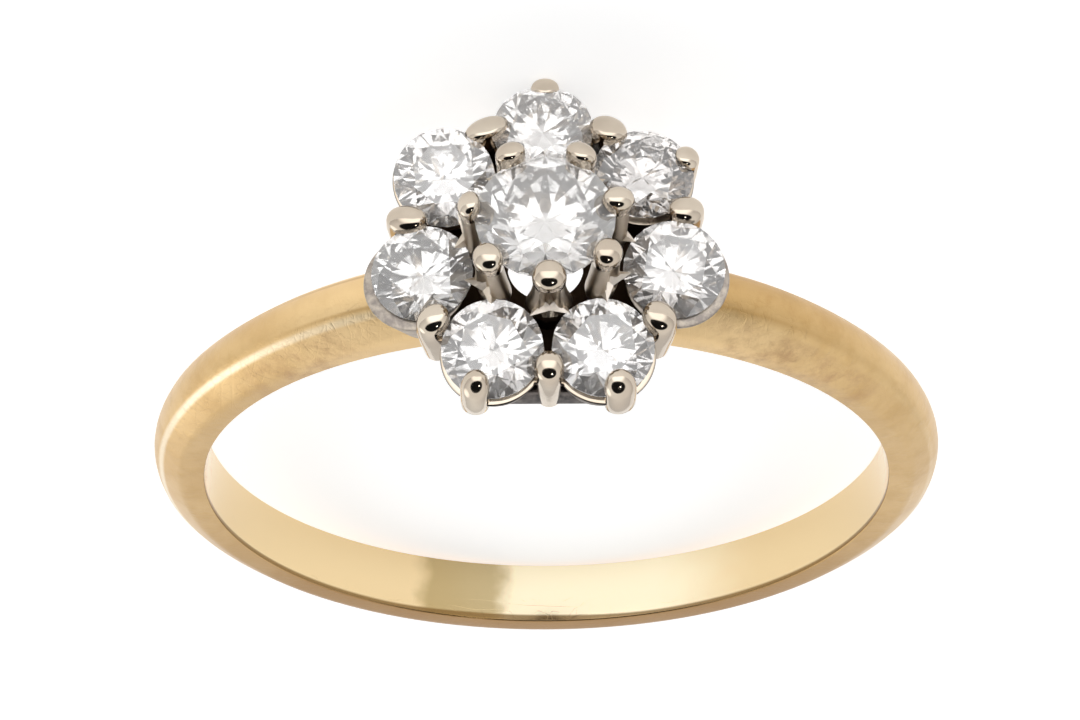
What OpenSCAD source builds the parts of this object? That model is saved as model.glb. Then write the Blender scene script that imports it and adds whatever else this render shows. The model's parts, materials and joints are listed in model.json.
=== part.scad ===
// Flower cluster ring: seven small brilliants around a raised centre brilliant.
// Yellow gold shank, white gold claw setting. All sizes are in millimetres.
// The ring is modelled with the finger axis along Y and the head towards +Z,
// and is then laid on its side the way it rests by itself.

/* [Finger hole] */
// Inner diameter of the shank
inner_d = 17; // [15:0.1:20]

/* [Shank] */
// Width of the band from its back to the shoulders
band_w = 1.62; // [1.3:0.02:2]
// Width of the band where it meets the head
shoulder_w = 1.94; // [1.6:0.02:2.4]
// Thickness of the band at its crest
band_t = 1.26; // [1:0.02:1.6]
// How far the outer face falls from the crest to the edge of the band
crest_drop = 0.62; // [0.3:0.02:0.8]
// Power of the crown curve, where 2 is round and 4 is flat with soft corners
crown_power = 2.4; // [2:0.1:4]
// How far the shoulders' own centre lies towards the head
shoulder_shift = 1; // [0.6:0.05:1.4]
// Extra thickness of the shoulders at the top of the ring
shoulder_rise = 0.36; // [0.2:0.02:0.5]
// Height above the finger axis where the band starts to widen
flare_z = 2; // [0:0.5:4]

/* [Stones] */
// Diameter of the centre stone
centre_d = 3.2; // [2.8:0.05:3.6]
// Diameter of each outer stone
outer_d = 2.34; // [2:0.02:2.5]
// Number of outer stones
outer_count = 7; // [7:1:7]
// Radius of the circle through the outer stones' centres
cluster_r = 2.94; // [2.8:0.02:3.1]
// Height of the outer stones' girdles above the finger axis
outer_girdle_z = 11.2; // [11:0.05:11.4]
// Height of the centre stone's girdle above the finger axis
centre_girdle_z = 12.62; // [12.4:0.02:12.8]
// Turn of the whole head about its own axis
head_turn = 0.9; // [-3:0.1:3]
// Table width as a share of the stone's diameter
table_share = 0.62; // [0.54:0.01:0.66]
// Crown height as a share of the stone's diameter
crown_share = 0.14; // [0.12:0.01:0.16]
// Pavilion depth as a share of the stone's diameter
pavilion_share = 0.42; // [0.4:0.01:0.44]
// Girdle thickness as a share of the stone's diameter
girdle_share = 0.025; // [0.02:0.005:0.04]
// How far the centre stone leans to the rear
centre_lean = 4; // [0:0.5:5]

/* [Claws] */
// Head radius of the claws shared by two outer stones
shared_claw_r = 0.36; // [0.32:0.01:0.38]
// Head radius of the claws at the tips of single outer stones
tip_claw_r = 0.3; // [0.26:0.01:0.33]
// Head radius of the claws round the centre stone
inner_claw_r = 0.32; // [0.28:0.01:0.34]
// Radius of a claw's foot as a share of its head
claw_taper = 0.82; // [0.75:0.01:0.9]
// Distance of the shared claws' heads from the head's axis
shared_claw_ring = 3.24; // [3.15:0.01:3.3]
// Distance of the inner claws' heads from the head's axis
inner_claw_ring = 1.66; // [1.62:0.01:1.7]
// Height of the other claws' heads above the girdles that they hold
claw_rise = 0.2; // [0.15:0.01:0.25]
// Length of the shared claws
shared_claw_h = 1.95; // [1.85:0.05:2.05]
// How far the shared claws lean outwards
shared_claw_lean = 0.32; // [0.2:0.02:0.4]
// Length of the tip claws
tip_claw_h = 1.55; // [1.5:0.05:1.65]
// How far the tip claws lean outwards
tip_claw_lean = 0.4; // [0.3:0.02:0.5]
// Height of the tip claws' heads above the outer stones' girdles
tip_claw_rise = 0.1; // [0.08:0.01:0.15]
// How far the inner claws lean outwards
inner_claw_lean = 0.26; // [0.2:0.02:0.3]
// Reach of the pointed wings at an inner claw's foot
wing_reach = 0.62; // [0.5:0.02:0.7]
// Height of those wings
wing_h = 0.42; // [0.3:0.02:0.5]

/* [Gallery] */
// Height of the gallery plate's top face above the finger axis
plate_top_z = 10.2; // [10:0.05:10.4]
// Thickness of the gallery plate
plate_t = 0.5; // [0.4:0.05:0.6]
// Diameter of the hole beneath the centre stone
centre_hole_d = 1.76; // [1.6:0.02:1.9]
// Outer radius of the collar soldered between the shoulders
collar_r = 2.45; // [2.3:0.05:2.6]
// Wall of that collar
collar_wall = 0.6; // [0.5:0.05:0.8]
// Radius of an outer stone's cup at its scalloped rim
cup_rim_r = 1.24; // [1.2:0.01:1.26]
// Height of that cup
cup_h = 1.45; // [1.35:0.01:1.5]
// How far the rim of that cup lies below the girdle
cup_drop = 0.3; // [0.25:0.01:0.35]
// Radius of that cup at its foot
cup_foot_r = 0.95; // [0.85:0.01:1]
// Radius of the light hole beneath each outer stone
light_hole_r = 0.5; // [0.4:0.05:0.6]

/* [Fit] */
// Gap between a stone and its setting
stone_gap = 0.02; // [0.01:0.005:0.04]
// Gap between the shank and the head
solder_gap = 0.02; // [0.01:0.005:0.04]

/* [Hidden] */
$fn = 96;

bore_r = inner_d / 2;
crest_r = bore_r + band_t;
shoulder_r = crest_r + shoulder_rise - shoulder_shift;
step_angle = 360 / outer_count;
first_stone_angle = 90 + head_turn;
first_claw_angle = first_stone_angle + step_angle / 2;

// How each outer stone sits by hand, from the rear one round by the left.
// Columns: lean outwards, lean to the front, shift outwards, turn of its facets, has a tip claw,
// and extra radius of its cup, which is wider where it meets a shoulder.
SEATS = [[2, 0, 0.1, 6, true, 0],
         [0, 14, 0, 20, false, 0],
         [6, 3, -0.04, 11, false, 0.14],
         [12, 0, -0.05, 31, true, 0],
         [10, 0, -0.03, 3, true, 0],
         [3, 9, 0.06, 25, false, 0.14],
         [5, 0, -0.01, 16, true, 0]];
lean_out = 0;
lean_front = 1;
shift_out = 2;
facet_turn = 3;
has_tip_claw = 4;
cup_extra = 5;

// Side edge of the crown curve, past the widest part of the band
crown_edge = shoulder_w / 2 + 0.05;
crown_steps = 6;

// Angle between the main facets of a brilliant
main_angle = 45;
// Where the lower half facets end, as a share of the stone's radius
lower_share = 0.22;
// Rise of the girdle's wave, as a share of the crown's height
girdle_wave = 0.12;
// How far inside the girdle the axis of a tip claw stands
tip_claw_bite = 0.12;
// How deep the inner claws' feet stand in the gallery plate
claw_root = 0.2;
// How far cuts run past the solid that they cut
past = 1;

// Rest: the rear tip claw and the back of the band touch the surface.
rear_claw_y = tip_claw_reach(0);
tip_claw_z = outer_girdle_z + tip_claw_rise;
back_edge_r = crest_r - crown_fall(band_w / 2);
contact_run = tip_claw_z + back_edge_r;
contact_rise = rear_claw_y - band_w / 2;
rest_tilt = atan2(contact_rise, contact_run)
    + asin(tip_claw_r / norm([contact_run, contact_rise]));
rest_height = back_edge_r * sin(rest_tilt) + band_w / 2 * cos(rest_tilt);

// The box of the laid ring runs from the rear inner claw's head to the back of the band.
inner_claw_z = centre_girdle_z + claw_rise;
rear_inner_y = inner_claw_ring * cos(step_angle / 2 - abs(head_turn));
front_reach = inner_claw_z * cos(rest_tilt) + rear_inner_y * sin(rest_tilt) + inner_claw_r;
back_reach = crest_r * cos(rest_tilt) + crown_reach(rest_tilt);
rest_shift = (front_reach - back_reach) / 2;

// Fall of the outer face at a distance from the middle of the band
function crown_fall(y) = crest_drop * pow(abs(y) / (band_w / 2), crown_power);
// Farthest that the band's crown passes its crest when it is seen at a tilt
function crown_reach(tilt) =
    max([for (share = [0 : 0.05 : 1])
        let (y = share * band_w / 2) y * sin(tilt) - crown_fall(y) * cos(tilt)]);
// Distance of a tip claw's head from the head's axis
function tip_claw_reach(i) = cluster_r + SEATS[i][shift_out] + outer_d / 2 - tip_claw_bite;

// Point on a circle
function polar(r, angle) = [r * cos(angle), r * sin(angle)];
// Height, at a place, of the plane through three points
function plane_z(a, b, c, at) =
    let (n = cross(b - a, c - a))
    a[2] - (n[0] * (at[0] - a[0]) + n[1] * (at[1] - a[1])) / n[2];

// Band

// Section of the band beside the finger axis, with a crowned outer face
module band_section(outer_r) {
    crown = [for (i = [-crown_steps : crown_steps])
        let (y = crown_edge * i / crown_steps)
        [outer_r - crown_fall(y), y]];
    polygon(concat(crown, [[bore_r - past, crown_edge], [bore_r - past, -crown_edge]]));
}

// Solid of revolution about the finger axis
module about_finger() {
    rotate([90, 0, 0]) rotate_extrude($fn = 180) children();
}

// Slab that gives the band its width and widens it towards the head
module side_trim() {
    reach = 2 * bore_r;
    slope = (shoulder_w - band_w) / 2 / (bore_r - flare_z);
    top_half = band_w / 2 + slope * (reach - flare_z);
    rotate([90, 0, 90])
        linear_extrude(height = 2 * reach, center = true)
            polygon([[-band_w / 2, -reach], [band_w / 2, -reach], [band_w / 2, flare_z],
                     [top_half, reach], [-top_half, reach], [-band_w / 2, flare_z]]);
}

module finger_bore() {
    rotate([90, 0, 0]) cylinder(r = bore_r, h = shoulder_w + 2 * past, center = true, $fn = 180);
}

// Stones

// Round brilliant about its own axis, with its girdle at z = 0
module brilliant(d, turn) {
    r = d / 2;
    girdle_top = d * girdle_share / 2;
    table_r = r * table_share;
    table_z = girdle_top + d * crown_share;
    culet_z = -girdle_top - d * pavilion_share;
    star_r = (r + table_r) / 2;
    lower_r = r * lower_share;
    crown_slope = d * crown_share / (r - table_r);
    pavilion_slope = d * pavilion_share / r;
    half = cos(main_angle / 2);
    star_z = girdle_top + (r - star_r * half) * crown_slope;
    lower_z = -girdle_top - (r - lower_r * half) * pavilion_slope;

    // One eighth of the stone: its table, star, girdle and lower points
    table = [for (i = [0 : 7]) concat(polar(table_r, main_angle * i), table_z)];
    star = [for (i = [0 : 7]) concat(polar(star_r, main_angle * (i + 0.5)), star_z)];
    lower = [for (i = [0 : 7]) concat(polar(lower_r, main_angle * (i + 0.5)), lower_z)];
    // The girdle rises and falls where the flat facets meet its round side
    rim = [for (i = [0 : 31]) polar(r, main_angle * i / 4)];
    upper_rise = plane_z(star[0], [r, 0, girdle_top], concat(rim[2], girdle_top), rim[1]);
    lower_rise = plane_z(lower[0], [r, 0, -girdle_top], concat(rim[2], -girdle_top), rim[1]);
    upper = [for (i = [0 : 31]) concat(rim[i], i % 2 == 0 ? girdle_top : upper_rise)];
    under = [for (i = [0 : 31]) concat(rim[i], i % 2 == 0 ? -girdle_top : lower_rise)];
    culet = [[0, 0, culet_z]];

    t = 0;
    s = t + 8;
    u = s + 8;
    v = u + 32;
    m = v + 32;
    c = m + 8;
    crown_faces = [for (i = [0 : 7]) let (j = (i + 1) % 8, h = (i + 7) % 8) each [
        [t + i, t + j, s + i],
        [t + i, s + i, u + 4 * i, s + h],
        [s + i, u + 4 * i + 2, u + 4 * i + 1, u + 4 * i],
        [s + i, u + 4 * j, u + 4 * i + 3, u + 4 * i + 2]]];
    pavilion_faces = [for (i = [0 : 7]) let (j = (i + 1) % 8, h = (i + 7) % 8) each [
        [c, m + h, v + 4 * i, m + i],
        [m + i, v + 4 * i, v + 4 * i + 1, v + 4 * i + 2],
        [m + i, v + 4 * i + 2, v + 4 * i + 3, v + 4 * j]]];
    girdle_faces = [for (i = [0 : 31]) let (j = (i + 1) % 32) [u + i, u + j, v + j, v + i]];
    rotate([0, 0, turn])
        polyhedron(points = concat(table, star, upper, under, lower, culet),
                   faces = concat([[for (i = [7 : -1 : 0]) t + i]], crown_faces,
                                  girdle_faces, pavilion_faces));
}

// Space that a stone takes in its seat, a little larger all round
module stone_space(d) {
    r = d / 2 + stone_gap;
    rim_z = d * girdle_share / 2 + girdle_wave * d * crown_share + stone_gap;
    table_r = r * table_share;
    top_z = rim_z + d * crown_share;
    culet_z = d * girdle_share / 2 + d * pavilion_share + 2 * stone_gap;
    rotate_extrude($fn = 64)
        polygon([[0, top_z], [table_r, top_z], [r, rim_z], [r, -rim_z], [0, -culet_z - stone_gap]]);
}

// Put a thing on the seat of outer stone number i
module on_outer_seat(i) {
    seat = SEATS[i];
    angle = first_stone_angle + step_angle * i;
    place = polar(cluster_r + seat[shift_out], angle);
    translate([place[0], place[1], outer_girdle_z])
        rotate([seat[lean_front], 0, 0])
            rotate([0, 0, angle])
                rotate([0, seat[lean_out], 0])
                    children();
}

module outer_stone(i) {
    color("white") on_outer_seat(i) brilliant(outer_d, SEATS[i][facet_turn]);
}

module on_centre_seat() {
    translate([0, 0, centre_girdle_z]) rotate([-centre_lean, 0, 0]) children();
}

module centre_stone() {
    color("white") on_centre_seat() brilliant(centre_d, 0);
}

// Setting

// Claw turned as one piece: a rounded foot, a tapered shaft and a domed head
module claw(angle, foot, head, head_r, extra = 0) {
    run = head - foot;
    length = norm(run);
    foot_r = head_r * claw_taper + extra;
    dome_r = head_r + extra;
    foot_arc = [for (a = [-90 : 30 : 0]) polar(foot_r, a)];
    dome = [for (a = [-30 : 24 : 90]) polar(dome_r, a) + [0, length]];
    rotate([0, 0, angle])
        translate([foot[0], 0, foot[1]])
            rotate([0, atan2(run[0], run[1]), 0])
                rotate_extrude($fn = 32)
                    polygon(concat([[0, -foot_r]], foot_arc, dome, [[0, length]]));
}

// Claw between outer stones i and i + 1
module shared_claw(i, extra = 0) {
    head = [shared_claw_ring, outer_girdle_z + claw_rise];
    claw(first_claw_angle + step_angle * i, head - [shared_claw_lean, shared_claw_h], head,
         shared_claw_r, extra);
}

module tip_claw(i) {
    head = [tip_claw_reach(i), tip_claw_z];
    claw(first_stone_angle + step_angle * i, head - [tip_claw_lean, tip_claw_h], head, tip_claw_r);
}

// Pointed blades at an inner claw's foot that hold the two outer stones beside it
module claw_wings() {
    root = wing_reach * 0.42;
    notch = wing_reach * 0.65;
    translate([inner_claw_ring - inner_claw_lean / 2, 0, outer_girdle_z - wing_h / 4])
        linear_extrude(height = wing_h)
            polygon([[-root, -root], [root, -root], [wing_reach, -wing_reach], [notch, 0],
                     [wing_reach, wing_reach], [root, root], [-root, root]]);
}

module inner_claw(i) {
    angle = first_claw_angle + step_angle * i;
    claw(angle, [inner_claw_ring - inner_claw_lean, plate_top_z - claw_root],
         [inner_claw_ring, inner_claw_z], inner_claw_r);
    rotate([0, 0, angle]) claw_wings();
}

// Cup beneath an outer stone: a scalloped rim that narrows to its foot
module cup(i, extra = 0) {
    wide = SEATS[i][cup_extra] + extra;
    on_outer_seat(i) translate([0, 0, -cup_drop - cup_h])
        cylinder(r1 = cup_foot_r + wide, r2 = cup_rim_r + wide, h = cup_h, $fn = 64);
}

// Plate under the cluster and the collar that stands between the shoulders.
// The collar's flat foot clears the finger hole.
module gallery(foot_z, extra = 0) {
    translate([0, 0, plate_top_z - plate_t]) cylinder(r = cluster_r + extra, h = plate_t);
    translate([0, 0, foot_z])
        cylinder(r = collar_r + extra, h = plate_top_z - plate_t / 2 - foot_z);
}

// See-through hole beneath the centre stone, inside of the collar, and light holes
module gallery_holes() {
    foot_z = bore_r - past;
    translate([0, 0, foot_z]) {
        cylinder(d = centre_hole_d, h = plate_top_z + past - foot_z, $fn = 64);
        cylinder(r = collar_r - collar_wall, h = plate_top_z - plate_t - foot_z);
    }
    for (i = [0 : outer_count - 1])
        on_outer_seat(i) translate([0, 0, -cup_h - past])
            cylinder(r = light_hole_r, h = cup_h + past, $fn = 48);
}

module setting() {
    color("gainsboro") difference() {
        union() {
            gallery(bore_r + solder_gap);
            for (i = [0 : outer_count - 1]) {
                cup(i);
                shared_claw(i);
                inner_claw(i);
                if (SEATS[i][has_tip_claw]) tip_claw(i);
            }
        }
        for (i = [0 : outer_count - 1]) on_outer_seat(i) stone_space(outer_d);
        on_centre_seat() stone_space(centre_d);
        gallery_holes();
    }
}

// Shank, cut away where the head stands between its shoulders
module shank() {
    color("goldenrod") difference() {
        intersection() {
            union() {
                about_finger() band_section(crest_r);
                translate([0, 0, shoulder_shift]) about_finger() band_section(shoulder_r);
            }
            side_trim();
        }
        finger_bore();
        gallery(bore_r - past, solder_gap);
        for (i = [0 : outer_count - 1]) {
            cup(i, solder_gap);
            shared_claw(i, solder_gap);
        }
    }
}

// Lay the ring on its rear side, where it rests on a claw and the back of the band
module at_rest() {
    translate([0, rest_shift, rest_height])
        rotate([rest_tilt - 90, 0, 180])
            children();
}

at_rest() shank();
at_rest() setting();
at_rest() centre_stone();
at_rest() outer_stone(0);  // outer_stone_1
at_rest() outer_stone(1);  // outer_stone_2
at_rest() outer_stone(2);  // outer_stone_3
at_rest() outer_stone(3);  // outer_stone_4
at_rest() outer_stone(4);  // outer_stone_5
at_rest() outer_stone(5);  // outer_stone_6
at_rest() outer_stone(6);  // outer_stone_7
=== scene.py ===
import json
import math

import bmesh
import bpy
from mathutils import Matrix, Vector


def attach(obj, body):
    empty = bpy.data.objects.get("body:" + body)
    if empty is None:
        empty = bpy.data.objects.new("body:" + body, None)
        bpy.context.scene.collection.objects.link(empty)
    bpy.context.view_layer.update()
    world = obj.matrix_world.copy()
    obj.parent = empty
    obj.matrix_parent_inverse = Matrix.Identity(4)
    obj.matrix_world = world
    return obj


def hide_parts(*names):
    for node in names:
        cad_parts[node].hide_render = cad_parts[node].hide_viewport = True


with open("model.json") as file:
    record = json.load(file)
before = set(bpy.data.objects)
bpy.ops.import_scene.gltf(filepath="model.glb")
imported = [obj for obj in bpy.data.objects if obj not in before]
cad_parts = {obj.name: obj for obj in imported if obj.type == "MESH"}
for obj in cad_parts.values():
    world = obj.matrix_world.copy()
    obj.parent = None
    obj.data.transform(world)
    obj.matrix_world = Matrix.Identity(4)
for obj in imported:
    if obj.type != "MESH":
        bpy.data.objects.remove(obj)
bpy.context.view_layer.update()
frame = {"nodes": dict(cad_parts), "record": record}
nodes = frame["nodes"]
print("frame loaded:", len(nodes), "nodes")

# Everything is modelled in millimetres about the ring's own axes: the finger
# axis along Y, the head towards +Z. layDown puts it where the ring lies.
fingerHole = frame["record"]["mounts"][0]
holeRadius = fingerHole["dims"]["r_mm"]
toFront = Vector(fingerHole["axis"])
toSide = Vector((-1, 0, 0))
toHead = toFront.cross(toSide)
ringCentre = Vector(fingerHole["pos_m"])
layDown = Matrix.Translation(ringCentre) @ Matrix((toSide, -toFront, toHead)).transposed().to_4x4()
millimetre = 0.001
nearBy = 0.01        # mm, how near a point has to be to count as on a line
seamWidth = 0.0005   # mm, closer points are merged
turnedSeam = 0.0001  # mm, the same on turned pieces
fineSeam = 0.00001  # mm, the same on claws, leaves and stones' rooms


# Camera

photoView = {
    "distance": 120,        # mm from the ring's centre
    "fromAxis": 64.633,     # degrees between the view and the finger axis
    "roll": -0.255,         # degrees
    "lens": 160.2,
    "aimSide": -0.148,      # mm, what the frame's middle looks at
    "aimUp": 2.397,
}


def addCamera(view):
    tilt = math.radians(view["fromAxis"])
    back = Vector((0, -math.cos(tilt), math.sin(tilt)))
    up = Vector((0, math.sin(tilt), math.cos(tilt)))
    side = up.cross(back)
    place = back * view["distance"]
    aim = side * view["aimSide"] + up * view["aimUp"]
    look = (place - aim).normalized()
    right = up.cross(look).normalized()
    turned = Matrix.Rotation(math.radians(view["roll"]), 4, look)
    axes = Matrix((right, look.cross(right), look)).transposed().to_4x4()
    bpy.ops.object.camera_add()
    camera = bpy.context.object
    camera.name = "photo_camera"
    camera.matrix_world = layDown @ Matrix.Translation(place * millimetre) @ turned @ axes
    camera.data.lens = view["lens"]
    camera.data.clip_start = 0.01
    bpy.context.scene.camera = camera


addCamera(photoView)
print("camera placed")


# Edit-mode helpers

def pick(kind, test):
    # Selects the VERT, EDGE or FACE elements that pass the test
    bpy.ops.mesh.select_all(action="DESELECT")
    bpy.ops.mesh.select_mode(type=kind)
    mesh = bmesh.from_edit_mesh(bpy.context.edit_object.data)
    for element in {"VERT": mesh.verts, "EDGE": mesh.edges, "FACE": mesh.faces}[kind]:
        element.select_set(test(element))
    mesh.select_flush_mode()
    bmesh.update_edit_mesh(bpy.context.edit_object.data)


def startEdit(name):
    bpy.context.object.name = name
    bpy.context.object.data.name = name
    bpy.ops.object.mode_set(mode="EDIT")
    bpy.ops.mesh.select_all(action="SELECT")
    return bpy.context.object


def endEdit(merge=seamWidth):
    bpy.ops.mesh.select_all(action="SELECT")
    bpy.ops.mesh.remove_doubles(threshold=merge)
    bpy.ops.mesh.normals_make_consistent(inside=False)
    bpy.ops.object.mode_set(mode="OBJECT")


def only(piece):
    bpy.ops.object.select_all(action="DESELECT")
    piece.select_set(True)
    bpy.context.view_layer.objects.active = piece


def finishPiece(piece, smoothAngle=35):
    # Lays the piece down, in metres, and leaves its object at the origin
    only(piece)
    bpy.ops.object.shade_smooth_by_angle(angle=math.radians(smoothAngle))
    piece.matrix_world = layDown @ Matrix.Scale(millimetre, 4) @ piece.matrix_world
    bpy.ops.object.transform_apply(location=True, rotation=True, scale=True)
    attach(piece, "root")


# Shank

shankSizes = {
    "width": 1.62,
    "headWidth": 1.94,
    "thickness": 1.248,
    "ridgeSide": 0.47,      # how far the soft ridges lie from the middle of the band
    "ridgeDrop": 0.15,
    "edgeDrop": 0.66,       # fall from the crest to the side of the band
    "crownPower": 2.4,      # the fall grows with this power of the band's width
    "crownFoot": 0.4,       # above the hole, where the crown ends and the plain sides begin
    "flareHeight": 2.0,     # above the finger axis, where the band starts to widen
    "headShift": 1.0,       # the shoulders' circle lies this far towards the head
    "headRise": 0.36,
    "blend": 0.02,          # softens the corner where the two circles meet
    "crestCuts": 11,
    "outerRound": 0.1,
    "innerRound": 0.05,
    "roundSteps": 4,
    "stations": 144,
}


def bandThickness(angle, sizes):
    crest = holeRadius + sizes["thickness"]
    shift = sizes["headShift"]
    radius = crest + sizes["headRise"] - shift
    second = shift * math.sin(angle) + math.sqrt(radius ** 2 - (shift * math.cos(angle)) ** 2)
    gap = math.sqrt((crest - second) ** 2 + sizes["blend"])
    return (crest + second + gap) / 2 - holeRadius


def bandWidth(angle, sizes):
    height = (holeRadius + sizes["thickness"] / 2) * math.sin(angle) - sizes["flareHeight"]
    span = holeRadius - sizes["flareHeight"]
    return sizes["width"] + (sizes["headWidth"] - sizes["width"]) * max(0, height) / span


def crownFall(side, sizes):
    side = abs(side)
    if side < sizes["ridgeSide"]:
        return sizes["ridgeDrop"] * (side / sizes["ridgeSide"]) ** 2
    share = (side - sizes["ridgeSide"]) / (sizes["width"] / 2 - sizes["ridgeSide"])
    return sizes["ridgeDrop"] + (sizes["edgeDrop"] - sizes["ridgeDrop"]) * share


def makeShank(sizes):
    half = sizes["width"] / 2
    crest = holeRadius + sizes["thickness"]
    bpy.ops.mesh.primitive_plane_add(size=1, location=(0, 0, 0))
    shank = startEdit("gold_shank")
    bpy.ops.mesh.delete(type="ONLY_FACE")
    bpy.ops.mesh.select_all(action="SELECT")
    # The plane's outline becomes the band's section, beside the finger axis
    bpy.ops.transform.resize(value=(sizes["thickness"], sizes["width"], 1))
    bpy.ops.transform.translate(value=(holeRadius + sizes["thickness"] / 2, 0, 0))
    pick("EDGE", lambda e: min(v.co.x for v in e.verts) > crest - nearBy)
    cuts = sizes["crestCuts"]
    bpy.ops.mesh.subdivide(number_cuts=cuts)
    for i in range(cuts + 2):
        side = half * (2 * i / (cuts + 1) - 1)
        pick("VERT", lambda v: abs(v.co.y - side) < nearBy and v.co.x > crest - nearBy)
        bpy.ops.transform.translate(value=(-crownFall(side, sizes), 0, 0))
    # Softened edges
    pick("VERT", lambda v: abs(abs(v.co.y) - half) < nearBy and v.co.x > holeRadius + sizes["innerRound"])
    bpy.ops.mesh.bevel(offset=sizes["outerRound"], segments=sizes["roundSteps"], affect="VERTICES")
    pick("VERT", lambda v: v.co.x < holeRadius + nearBy)
    bpy.ops.mesh.bevel(offset=sizes["innerRound"], segments=sizes["roundSteps"], affect="VERTICES")
    bpy.ops.mesh.select_all(action="SELECT")
    bpy.ops.mesh.spin(steps=sizes["stations"], angle=2 * math.pi, center=(0, 0, 0), axis=(0, 1, 0))
    bpy.ops.mesh.select_all(action="SELECT")
    bpy.ops.mesh.remove_doubles(threshold=seamWidth)
    step = 2 * math.pi / sizes["stations"]
    for station in range(sizes["stations"]):
        angle = station * step
        thicker = bandThickness(angle, sizes) / sizes["thickness"]
        wider = bandWidth(angle, sizes) / sizes["width"]
        if abs(thicker - 1) < seamWidth and abs(wider - 1) < seamWidth:
            continue
        out = Vector((math.cos(angle), 0, math.sin(angle)))

        def onStation(v):
            return Vector((v.co.x, 0, v.co.z)).angle(out) < step / 2
        pick("VERT", onStation)
        bpy.ops.transform.resize(value=(thicker, wider, thicker), center_override=out * holeRadius)
        # The crown falls more steeply where the band is wider
        steeper = wider ** sizes["crownPower"] / thicker
        crestPlace = out * (holeRadius + sizes["thickness"] * thicker)
        crownFoot = holeRadius + sizes["crownFoot"] * thicker
        pick("VERT", lambda v: onStation(v) and v.co.dot(out) > crownFoot)
        bpy.ops.transform.resize(value=(steeper, 1, steeper), center_override=crestPlace)
    endEdit()
    return shank


shank = makeShank(shankSizes)
print("shank swept")


# Seats of the stones

cluster = {
    "firstStone": 90.9,     # degrees round the head, the rear stone
    "ring": 2.94,
    "stone": 2.34,
    "girdle": 11.2,
    "centreStone": 3.2,
    "centreGirdle": 12.62,
    "centreLean": 4,
    "pavilion": 0.42,       # shares of a stone's diameter
    "crown": 0.14,
    "table": 0.62,
    "rim": 0.025,
    "culet": 0.02,
    "gap": 0.02,
}
# Columns: lean outwards, lean to the front, shift outwards. A row for each outer stone,
# from the rear one round by the left.
seatLeans = [
    (2, 0, 0.1),
    (0, 14, 0),
    (6, 3, -0.04),
    (12, 0, -0.05),
    (10, 0, -0.03),
    (3, 9, 0.06),
    (5, 0, -0.01),
]
stoneCount = len(seatLeans)
stoneStep = 360 / stoneCount


def seatMatrix(i):
    leanOut, leanFront, shiftOut = seatLeans[i]
    angle = math.radians(cluster["firstStone"] + stoneStep * i)
    reach = cluster["ring"] + shiftOut
    return (Matrix.Translation((reach * math.cos(angle), reach * math.sin(angle), cluster["girdle"]))
            @ Matrix.Rotation(math.radians(leanFront), 4, "X")
            @ Matrix.Rotation(angle, 4, "Z")
            @ Matrix.Rotation(math.radians(leanOut), 4, "Y"))


def centreSeatMatrix():
    return (Matrix.Translation((0, 0, cluster["centreGirdle"]))
            @ Matrix.Rotation(math.radians(-cluster["centreLean"]), 4, "X"))


def applyPlace(piece, place):
    only(piece)
    piece.matrix_world = place @ piece.matrix_world
    bpy.ops.object.transform_apply(location=True, rotation=True, scale=True)


def copyOf(piece, name):
    only(piece)
    bpy.ops.object.duplicate(linked=False)
    twin = bpy.context.object
    twin.name = name
    twin.data.name = name
    return twin


def cutAway(piece, cutter):
    only(piece)
    cut = piece.modifiers.new("cut", "BOOLEAN")
    cut.operation = "DIFFERENCE"
    cut.object = cutter
    cut.solver = "EXACT"
    bpy.ops.object.modifier_apply(modifier=cut.name)


def stoneCutter(diameter, name):
    # The room that a stone takes, a little larger than the stone
    gap = cluster["gap"]
    radius = diameter / 2 + gap
    rim = diameter * cluster["rim"] / 2 + gap
    bpy.ops.mesh.primitive_cylinder_add(vertices=64, radius=radius, depth=2 * rim)
    cutter = startEdit(name)
    pick("FACE", lambda f: f.normal.z > 0.9)
    bpy.ops.mesh.extrude_region_move(TRANSFORM_OT_translate={"value": (0, 0, diameter * cluster["crown"])})
    bpy.ops.transform.resize(value=(cluster["table"], cluster["table"], 1))
    pick("FACE", lambda f: f.normal.z < -0.9)
    depth = diameter * cluster["pavilion"] + gap
    bpy.ops.mesh.extrude_region_move(TRANSFORM_OT_translate={"value": (0, 0, -depth)})
    bpy.ops.transform.resize(value=(cluster["culet"], cluster["culet"], 1))
    endEdit(merge=fineSeam)
    return cutter


outerCutter = stoneCutter(cluster["stone"], "outer_room")
seatCutters = []
for i in range(stoneCount):
    seatCutters.append(copyOf(outerCutter, f"room_{i + 1}"))
    applyPlace(seatCutters[i], seatMatrix(i))
centreCutter = stoneCutter(cluster["centreStone"], "centre_room")
applyPlace(centreCutter, centreSeatMatrix())


# Claws

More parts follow.
